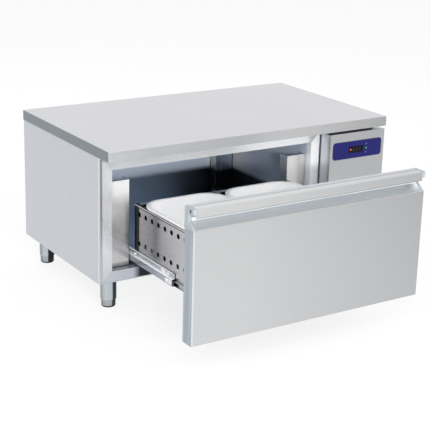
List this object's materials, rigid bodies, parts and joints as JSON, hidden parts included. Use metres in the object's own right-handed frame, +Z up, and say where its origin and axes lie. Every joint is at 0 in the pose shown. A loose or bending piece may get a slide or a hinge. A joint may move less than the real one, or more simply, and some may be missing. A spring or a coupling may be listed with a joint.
{
  "type": "refrigerated chef base",
  "caption": "Low refrigerated counter on adjustable legs with a stainless worktop, a wide pan drawer on telescopic runners and a machine bay with its controller at the right end.",
  "frame": {"origin": "on the floor, under the middle of the bounding box of the unit as it stands with its drawer open", "axes": "+Z up, +X along the worktop towards the machine bay, -Y the way that the drawer opens"},
  "size_m": [1.2, 1.2274, 0.6],
  "materials": {
    "brushed_steel": "satin",
    "liner_steel": "satin",
    "zinc_steel": "gloss",
    "leg_metal": "satin",
    "grey_plastic": "satin",
    "foam": "matte",
    "foamed_panel": "satin",
    "gasket_rubber": "matte",
    "white_plastic": "gloss",
    "blue_film": "satin",
    "green_key": "gloss",
    "black_plastic": "matte",
    "compressor_shell": "satin",
    "black_paint": "satin",
    "coil": "satin",
    "copper": "satin"
  },
  "bodies": {
    "cabinet": {"worktop": "brushed_steel", "side_panel_left": "brushed_steel", "side_panel_right": "brushed_steel", "back_panel": "brushed_steel", "bottom_panel": "brushed_steel", "frame_top_rail": "brushed_steel", "frame_bottom_rail": "brushed_steel", "frame_left_stile": "brushed_steel", "frame_right_stile": "brushed_steel", "runner_support_left": "brushed_steel", "runner_support_right": "brushed_steel", "bay_front_frame": "brushed_steel", "bay_cover": "brushed_steel", "inner_liner": "liner_steel", "evaporator_cover": "liner_steel", "runner_outer_left": "zinc_steel", "runner_outer_right": "zinc_steel", "leg_front_left": "leg_metal", "leg_front_right": "leg_metal", "leg_rear_left": "leg_metal", "leg_rear_right": "leg_metal", "insulation": "foam", "control_overlay": "blue_film", "temperature_controller": "black_plastic", "power_inlet_gland": "black_plastic", "compressor": "compressor_shell", "fan_shroud": "black_paint", "condenser": "coil", "evaporator_coil": "coil", "suction_line": "copper", "discharge_line": "copper", "liquid_line": "copper"},
    "drawer": {"drawer_front_skin": "brushed_steel", "grip_rail": "brushed_steel", "grip_cap_left": "grey_plastic", "grip_cap_right": "grey_plastic", "drawer_inner_panel": "foamed_panel", "drawer_gasket": "gasket_rubber", "drawer_cross_frame": "brushed_steel", "drawer_side_left": "brushed_steel", "drawer_side_right": "brushed_steel", "runner_inner_left": "zinc_steel", "runner_inner_right": "zinc_steel"},
    "runner_middle_left": {"runner_middle_left": "zinc_steel"},
    "runner_middle_right": {"runner_middle_right": "zinc_steel"},
    "ball_cage_outer_left": {"ball_cage_outer_left": "zinc_steel"},
    "ball_cage_outer_right": {"ball_cage_outer_right": "zinc_steel"},
    "ball_cage_inner_left": {"ball_cage_inner_left": "zinc_steel"},
    "ball_cage_inner_right": {"ball_cage_inner_right": "zinc_steel"},
    "pan_left": {"pan_left": "white_plastic"},
    "pan_right": {"pan_right": "white_plastic"},
    "condenser_fan": {"condenser_fan": "black_plastic"},
    "evaporator_fan": {"evaporator_fan": "black_plastic"},
    "power_key": {"power_key": "green_key"},
    "up_key": {"up_key": "blue_film"},
    "down_key": {"down_key": "blue_film"},
    "foot_front_left": {"foot_front_left": "grey_plastic"},
    "foot_front_right": {"foot_front_right": "grey_plastic"},
    "foot_rear_left": {"foot_rear_left": "grey_plastic"},
    "foot_rear_right": {"foot_rear_right": "grey_plastic"}
  },
  "joints": [
    {"name": "drawer_slide", "type": "slide", "parent": "cabinet", "child": "drawer", "axis": [0, 1, 0], "range_m": [-0.0185, 0.5315]},
    {"name": "runner_middle_left_slide", "type": "slide", "parent": "cabinet", "child": "runner_middle_left", "axis": [0, 1, 0], "range_m": [-0.00975, 0.26625]},
    {"name": "ball_cage_outer_left_slide", "type": "slide", "parent": "cabinet", "child": "ball_cage_outer_left", "axis": [0, 1, 0], "range_m": [-0.00513, 0.13337]},
    {"name": "ball_cage_inner_left_slide", "type": "slide", "parent": "cabinet", "child": "ball_cage_inner_left", "axis": [0, 1, 0], "range_m": [-0.01438, 0.39913]},
    {"name": "runner_middle_right_slide", "type": "slide", "parent": "cabinet", "child": "runner_middle_right", "axis": [0, 1, 0], "range_m": [-0.00975, 0.26625]},
    {"name": "ball_cage_outer_right_slide", "type": "slide", "parent": "cabinet", "child": "ball_cage_outer_right", "axis": [0, 1, 0], "range_m": [-0.00513, 0.13337]},
    {"name": "ball_cage_inner_right_slide", "type": "slide", "parent": "cabinet", "child": "ball_cage_inner_right", "axis": [0, 1, 0], "range_m": [-0.01438, 0.39913]},
    {"name": "pan_left_lift", "type": "slide", "parent": "drawer", "child": "pan_left", "axis": [0, 0, 1], "range_m": [0, 0.02]},
    {"name": "pan_right_lift", "type": "slide", "parent": "drawer", "child": "pan_right", "axis": [0, 0, 1], "range_m": [0, 0.02]},
    {"name": "condenser_fan_spin", "type": "hinge", "parent": "cabinet", "child": "condenser_fan", "pos_m": [0.47325, 0.06105, 0.2242], "axis": [0, 1, 0], "continuous": true},
    {"name": "evaporator_fan_spin", "type": "hinge", "parent": "cabinet", "child": "evaporator_fan", "pos_m": [-0.059, 0.40595, 0.4311], "axis": [0, 0, 1], "continuous": true},
    {"name": "power_key_press", "type": "slide", "parent": "cabinet", "child": "power_key", "axis": [0, 1, 0], "range_m": [0, 0.0008], "stiffness_N_per_m": 400, "springref_m": -0.0005},
    {"name": "up_key_press", "type": "slide", "parent": "cabinet", "child": "up_key", "axis": [0, 1, 0], "range_m": [0, 0.0008], "stiffness_N_per_m": 400, "springref_m": -0.0005},
    {"name": "down_key_press", "type": "slide", "parent": "cabinet", "child": "down_key", "axis": [0, 1, 0], "range_m": [0, 0.0008], "stiffness_N_per_m": 400, "springref_m": -0.0005},
    {"name": "foot_front_left_turn", "type": "hinge", "parent": "cabinet", "child": "foot_front_left", "pos_m": [-0.538, 0.03375, 0], "axis": [0, 0, 1], "continuous": true},
    {"name": "foot_front_right_turn", "type": "hinge", "parent": "cabinet", "child": "foot_front_right", "pos_m": [0.538, 0.03375, 0], "axis": [0, 0, 1], "continuous": true},
    {"name": "foot_rear_left_turn", "type": "hinge", "parent": "cabinet", "child": "foot_rear_left", "pos_m": [-0.538, 0.54975, 0], "axis": [0, 0, 1], "continuous": true},
    {"name": "foot_rear_right_turn", "type": "hinge", "parent": "cabinet", "child": "foot_rear_right", "pos_m": [0.538, 0.54975, 0], "axis": [0, 0, 1], "continuous": true}
  ],
  "couplings": [
    {"joint": "runner_middle_left_slide", "follows": "drawer_slide", "ratio": 0.5},
    {"joint": "ball_cage_outer_left_slide", "follows": "drawer_slide", "ratio": 0.25},
    {"joint": "ball_cage_inner_left_slide", "follows": "drawer_slide", "ratio": 0.75},
    {"joint": "runner_middle_right_slide", "follows": "drawer_slide", "ratio": 0.5},
    {"joint": "ball_cage_outer_right_slide", "follows": "drawer_slide", "ratio": 0.25},
    {"joint": "ball_cage_inner_right_slide", "follows": "drawer_slide", "ratio": 0.75}
  ]
}
